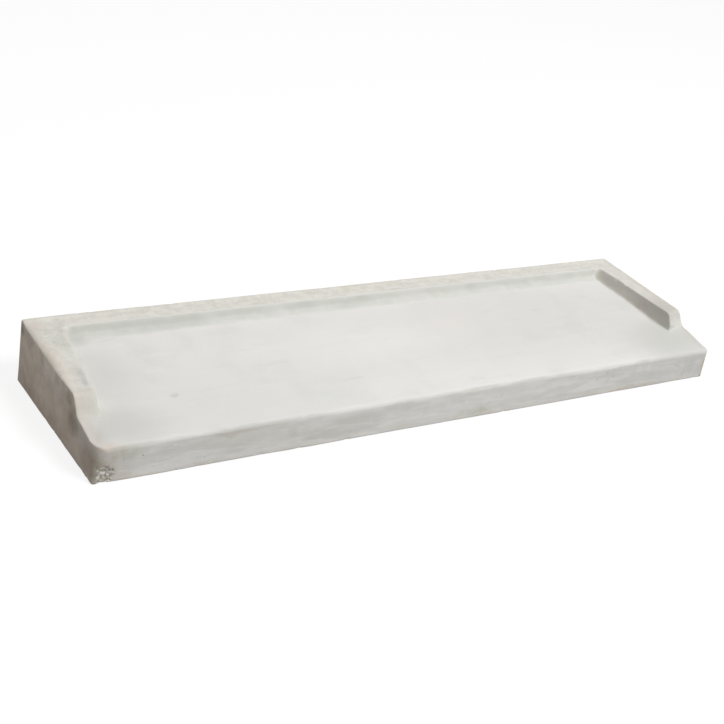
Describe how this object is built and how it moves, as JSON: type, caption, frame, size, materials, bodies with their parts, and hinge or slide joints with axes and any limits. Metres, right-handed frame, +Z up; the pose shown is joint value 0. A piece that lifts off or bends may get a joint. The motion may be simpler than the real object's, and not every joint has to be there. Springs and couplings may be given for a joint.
{
  "type": "concrete window sill",
  "caption": "One-piece cast concrete window sill: a sloping tray with a rounded nose, a coved rear upstand and an end upstand at each end that sweeps down in an ogee.",
  "frame": {"origin": "centre of the flat underside", "axes": "+X along the sill, -Y towards the rounded nose, +Y towards the rear upstand, +Z up"},
  "size_m": [1.34, 0.35, 0.1198],
  "materials": {
    "concrete": "matt, lightly pitted cast face"
  },
  "bodies": {
    "root": {"sill": "concrete"}
  },
  "joints": []
}
